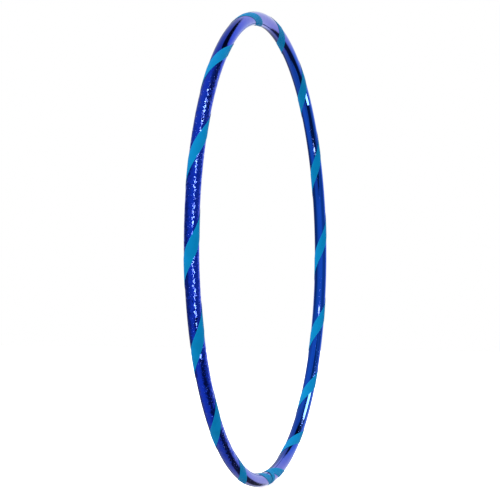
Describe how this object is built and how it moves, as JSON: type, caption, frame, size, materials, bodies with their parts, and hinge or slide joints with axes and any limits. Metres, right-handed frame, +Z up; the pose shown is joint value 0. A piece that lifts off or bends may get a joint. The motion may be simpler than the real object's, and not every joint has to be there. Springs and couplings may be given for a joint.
{
  "type": "rhythmic hoop",
  "caption": "Upright round hoop of film-wrapped pipe with a helical tape stripe; it opens at a push-button coupling at the bottom.",
  "frame": {"origin": "centre of the hoop, in the middle of the pipe's thickness", "axes": "+Z up with the hoop standing on edge and its coupling at the bottom, +Y along the hoop's axis towards the side with the snap button, +X towards the half that slides off the spigot"},
  "size_m": [0.9139, 0.0282, 0.9144],
  "materials": {
    "film": "metallised mirror film, finely crinkled",
    "tape": "satin tape",
    "pipe": "extruded polyethylene",
    "nylon": "moulded nylon",
    "button_steel": "plated steel",
    "spring_steel": "tempered strip",
    "rivet": "drawn aluminium"
  },
  "bodies": {
    "fixed_half": {"tube_fixed_half": "pipe", "film_wrap_fixed_half": "film", "stripe_tape_fixed_half": "tape", "coupling_spigot": "nylon", "coupling_rivet_1": "rivet", "coupling_rivet_2": "rivet", "snap_button_spring": "spring_steel"},
    "free_half": {"tube_free_half": "pipe", "film_wrap_free_half": "film", "stripe_tape_free_half": "tape", "end_band_tape": "tape"},
    "button": {"snap_button": "button_steel"}
  },
  "joints": [
    {"name": "hoop_opening", "type": "hinge", "parent": "fixed_half", "child": "free_half", "pos_m": [0, 0, 0.4577], "axis": [0, -1, 0], "range_deg": [0, 15], "stiffness_Nm_per_rad": 8},
    {"name": "button_press", "type": "slide", "parent": "fixed_half", "child": "button", "axis": [0, -1, 0], "range_m": [0, 0.005], "stiffness_N_per_m": 600, "springref_m": -0.002, "deforming": ["snap_button_spring"]}
  ]
}
